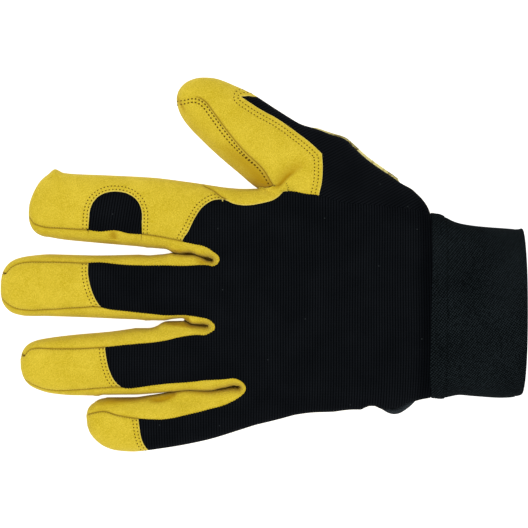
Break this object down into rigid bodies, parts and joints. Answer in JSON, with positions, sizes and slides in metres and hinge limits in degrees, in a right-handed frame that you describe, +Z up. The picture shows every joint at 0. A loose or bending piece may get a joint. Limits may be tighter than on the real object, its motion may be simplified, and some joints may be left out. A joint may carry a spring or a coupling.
{
  "type": "rope access glove",
  "caption": "Left-hand rope access glove lying palm down, with leather palm, fingertips and thumb, ribbed knit back and elastic cuff.",
  "frame": {"origin": "middle of the glove's footprint, on the surface that it lies on", "axes": "+X from the fingertips to the cuff, +Y towards the thumb's side, +Z up out of the back of the hand"},
  "size_m": [0.24, 0.172, 0.0249],
  "materials": {
    "gold_leather": "soft matt suede with a short nap",
    "rib_knit": "fine rib knit, matt",
    "cuff_elastic": "twill-woven elastic, matt"
  },
  "bodies": {
    "root": {"palm_panel": "gold_leather", "back_panel": "rib_knit", "index_cap": "gold_leather", "index_knuckle_panel": "rib_knit", "middle_cap": "gold_leather", "ring_cap": "gold_leather", "little_cap": "gold_leather", "index_middle_gusset": "gold_leather", "middle_ring_gusset": "gold_leather", "ring_little_gusset": "gold_leather", "thumb_web": "gold_leather", "thumb_back": "gold_leather", "thumb_front": "gold_leather", "thumb_side_panel": "rib_knit", "wrist_cuff": "cuff_elastic", "vent_binding": "cuff_elastic"}
  },
  "joints": []
}
